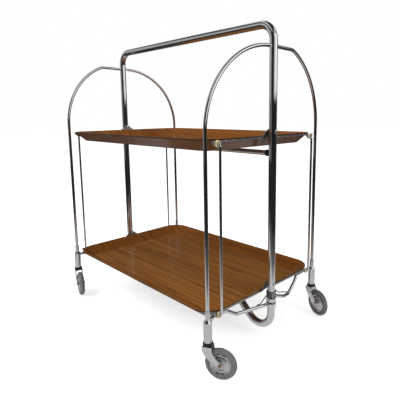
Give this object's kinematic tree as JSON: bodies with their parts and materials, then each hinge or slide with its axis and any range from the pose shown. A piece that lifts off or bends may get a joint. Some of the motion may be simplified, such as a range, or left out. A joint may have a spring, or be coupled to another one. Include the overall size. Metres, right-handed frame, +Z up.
{
  "type": "folding tea trolley",
  "caption": "Folding two-tier serving trolley: chromed tube loop frame, two halved wood-effect trays that fold up, arched rod legs on casters.",
  "frame": {"origin": "centre of the footprint on the floor", "axes": "+Z up, X along the trays and the handle bar, Y across from the front half to the back half"},
  "size_m": [0.7136, 0.4388, 0.752],
  "materials": {
    "chrome": "polished",
    "tray_laminate": "semi-gloss teak-effect laminate, brown on the underside",
    "cream_plastic": "satin",
    "black_plastic": "satin",
    "zinc_steel": "bright zinc plated",
    "grey_rubber": "matte",
    "brass": "dull, brass-toned rivet"
  },
  "bodies": {
    "frame": {"central_loop": "chrome", "upper_crossbar": "chrome", "crossbar_caps": "black_plastic", "leg_hinge_spindles": "chrome", "leaf_pivot_rivets": "chrome", "spring_cups": "chrome"},
    "upper_front_tray_half": {"upper_front_leaf": "tray_laminate", "upper_front_end_plates": "zinc_steel", "upper_front_plate_rivets": "zinc_steel", "upper_front_rod_bushes": "cream_plastic"},
    "lower_front_tray_half": {"lower_front_leaf": "tray_laminate", "lower_front_end_plates": "zinc_steel", "lower_front_plate_rivets": "zinc_steel", "lower_front_rod_bushes": "cream_plastic"},
    "front_rods": {"front_link_rods": "chrome"},
    "front_right_leg": {"front_right_leg_rod": "chrome", "front_right_sleeve": "chrome", "front_right_arm": "chrome", "front_right_spring_wire": "zinc_steel", "front_right_bearing_ring": "black_plastic"},
    "front_right_caster": {"front_right_fork": "chrome", "front_right_axle": "brass"},
    "front_right_wheel": {"front_right_hub": "chrome", "front_right_tyre": "grey_rubber"},
    "front_left_leg": {"front_left_leg_rod": "chrome", "front_left_sleeve": "chrome", "front_left_arm": "chrome", "front_left_spring_wire": "zinc_steel", "front_left_bearing_ring": "black_plastic"},
    "front_left_caster": {"front_left_fork": "chrome", "front_left_axle": "brass"},
    "front_left_wheel": {"front_left_hub": "chrome", "front_left_tyre": "grey_rubber"},
    "upper_back_tray_half": {"upper_back_leaf": "tray_laminate", "upper_back_end_plates": "zinc_steel", "upper_back_plate_rivets": "zinc_steel", "upper_back_rod_bushes": "cream_plastic"},
    "lower_back_tray_half": {"lower_back_leaf": "tray_laminate", "lower_back_end_plates": "zinc_steel", "lower_back_plate_rivets": "zinc_steel", "lower_back_rod_bushes": "cream_plastic"},
    "back_rods": {"back_link_rods": "chrome"},
    "back_right_leg": {"back_right_leg_rod": "chrome", "back_right_sleeve": "chrome", "back_right_arm": "chrome", "back_right_spring_wire": "zinc_steel", "back_right_bearing_ring": "black_plastic"},
    "back_right_caster": {"back_right_fork": "chrome", "back_right_axle": "brass"},
    "back_right_wheel": {"back_right_hub": "chrome", "back_right_tyre": "grey_rubber"},
    "back_left_leg": {"back_left_leg_rod": "chrome", "back_left_sleeve": "chrome", "back_left_arm": "chrome", "back_left_spring_wire": "zinc_steel", "back_left_bearing_ring": "black_plastic"},
    "back_left_caster": {"back_left_fork": "chrome", "back_left_axle": "brass"},
    "back_left_wheel": {"back_left_hub": "chrome", "back_left_tyre": "grey_rubber"}
  },
  "joints": [
    {"name": "upper_front_fold", "type": "hinge", "parent": "frame", "child": "upper_front_tray_half", "pos_m": [0, 0, 0.508], "axis": [-1, 0, 0], "range_deg": [0, 90]},
    {"name": "lower_front_fold", "type": "hinge", "parent": "frame", "child": "lower_front_tray_half", "pos_m": [0, 0, 0.146], "axis": [-1, 0, 0], "range_deg": [0, 90]},
    {"name": "front_rod_pivot", "type": "hinge", "parent": "upper_front_tray_half", "child": "front_rods", "pos_m": [0, -0.165, 0.49], "axis": [-1, 0, 0], "range_deg": [-90, 0]},
    {"name": "front_right_leg_swing", "type": "hinge", "parent": "frame", "child": "front_right_leg", "pos_m": [0.308, 0, 0.1], "axis": [0, 0, -1], "range_deg": [0, 12]},
    {"name": "front_right_swivel", "type": "hinge", "parent": "front_right_leg", "child": "front_right_caster", "pos_m": [0.296, -0.197, 0.08], "axis": [0, 0, 1], "continuous": true},
    {"name": "front_right_spin", "type": "hinge", "parent": "front_right_caster", "child": "front_right_wheel", "pos_m": [0.32072, -0.18385, 0.035], "axis": [-0.4695, 0.8829, 0], "continuous": true},
    {"name": "front_left_leg_swing", "type": "hinge", "parent": "frame", "child": "front_left_leg", "pos_m": [-0.308, 0, 0.1], "axis": [0, 0, 1], "range_deg": [0, 12]},
    {"name": "front_left_swivel", "type": "hinge", "parent": "front_left_leg", "child": "front_left_caster", "pos_m": [-0.296, -0.197, 0.08], "axis": [0, 0, 1], "continuous": true},
    {"name": "front_left_spin", "type": "hinge", "parent": "front_left_caster", "child": "front_left_wheel", "pos_m": [-0.26909, -0.20472, 0.035], "axis": [0.2756, 0.9613, 0], "continuous": true},
    {"name": "upper_back_fold", "type": "hinge", "parent": "frame", "child": "upper_back_tray_half", "pos_m": [0, 0, 0.508], "axis": [1, 0, 0], "range_deg": [0, 90]},
    {"name": "lower_back_fold", "type": "hinge", "parent": "frame", "child": "lower_back_tray_half", "pos_m": [0, 0, 0.146], "axis": [1, 0, 0], "range_deg": [0, 90]},
    {"name": "back_rod_pivot", "type": "hinge", "parent": "upper_back_tray_half", "child": "back_rods", "pos_m": [0, 0.165, 0.49], "axis": [1, 0, 0], "range_deg": [-90, 0]},
    {"name": "back_right_leg_swing", "type": "hinge", "parent": "frame", "child": "back_right_leg", "pos_m": [0.308, 0, 0.1], "axis": [0, 0, 1], "range_deg": [0, 12]},
    {"name": "back_right_swivel", "type": "hinge", "parent": "back_right_leg", "child": "back_right_caster", "pos_m": [0.296, 0.197, 0.08], "axis": [0, 0, 1], "continuous": true},
    {"name": "back_right_spin", "type": "hinge", "parent": "back_right_caster", "child": "back_right_wheel", "pos_m": [0.32292, 0.18928, 0.035], "axis": [0.2756, 0.9613, 0], "continuous": true},
    {"name": "back_left_leg_swing", "type": "hinge", "parent": "frame", "child": "back_left_leg", "pos_m": [-0.308, 0, 0.1], "axis": [0, 0, -1], "range_deg": [0, 12]},
    {"name": "back_left_swivel", "type": "hinge", "parent": "back_left_leg", "child": "back_left_caster", "pos_m": [-0.296, 0.197, 0.08], "axis": [0, 0, 1], "continuous": true},
    {"name": "back_left_spin", "type": "hinge", "parent": "back_left_caster", "child": "back_left_wheel", "pos_m": [-0.32292, 0.20472, 0.035], "axis": [-0.2756, -0.9613, 0], "continuous": true}
  ],
  "couplings": [
    {"joint": "lower_front_fold", "follows": "upper_front_fold", "ratio": 1},
    {"joint": "front_rod_pivot", "follows": "upper_front_fold", "ratio": -1},
    {"joint": "front_right_leg_swing", "follows": "upper_front_fold", "ratio": 0.13333},
    {"joint": "front_left_leg_swing", "follows": "upper_front_fold", "ratio": 0.13333},
    {"joint": "lower_back_fold", "follows": "upper_back_fold", "ratio": 1},
    {"joint": "back_rod_pivot", "follows": "upper_back_fold", "ratio": -1},
    {"joint": "back_right_leg_swing", "follows": "upper_back_fold", "ratio": 0.13333},
    {"joint": "back_left_leg_swing", "follows": "upper_back_fold", "ratio": 0.13333}
  ]
}
